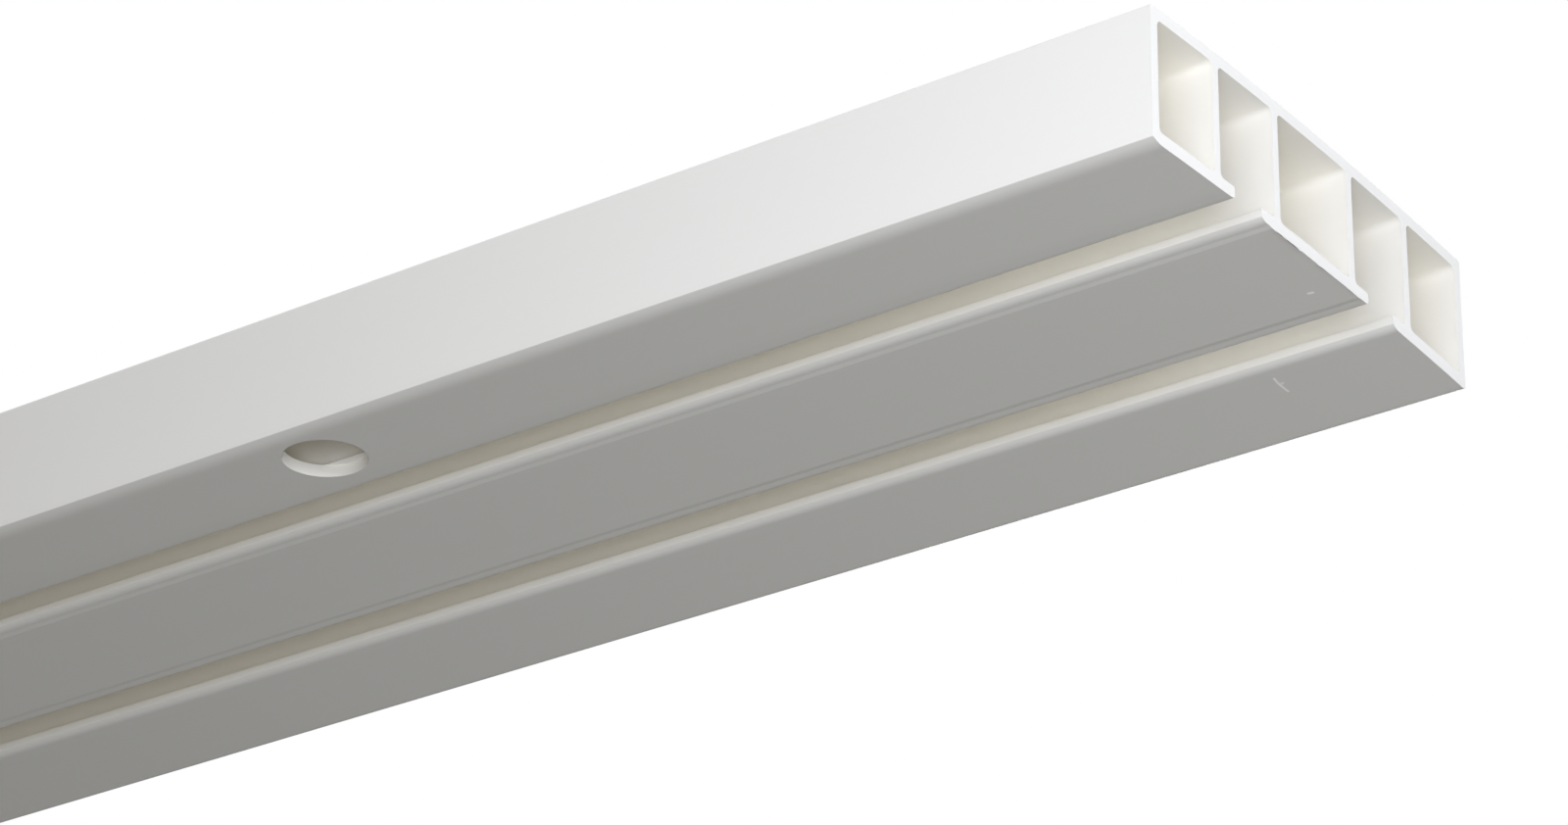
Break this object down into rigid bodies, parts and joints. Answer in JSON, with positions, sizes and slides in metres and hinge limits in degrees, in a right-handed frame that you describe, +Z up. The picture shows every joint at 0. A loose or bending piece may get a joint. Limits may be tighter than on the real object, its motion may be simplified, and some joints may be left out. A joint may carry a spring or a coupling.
{
  "type": "curtain track",
  "caption": "Straight white plastic ceiling curtain track: hollow extrusion with parallel glider channels slotted along the underside and drilled screw holes.",
  "frame": {"origin": "middle of the track's length and width, on the plane that its two lower long edges stand on", "axes": "+X along the track, +Y across it from the drilled side to the plain side, +Z up towards the ceiling"},
  "size_m": [1, 0.056, 0.0147],
  "materials": {
    "white_pvc": "extruded, satin white"
  },
  "bodies": {
    "root": {"track_profile": "white_pvc"}
  },
  "joints": []
}
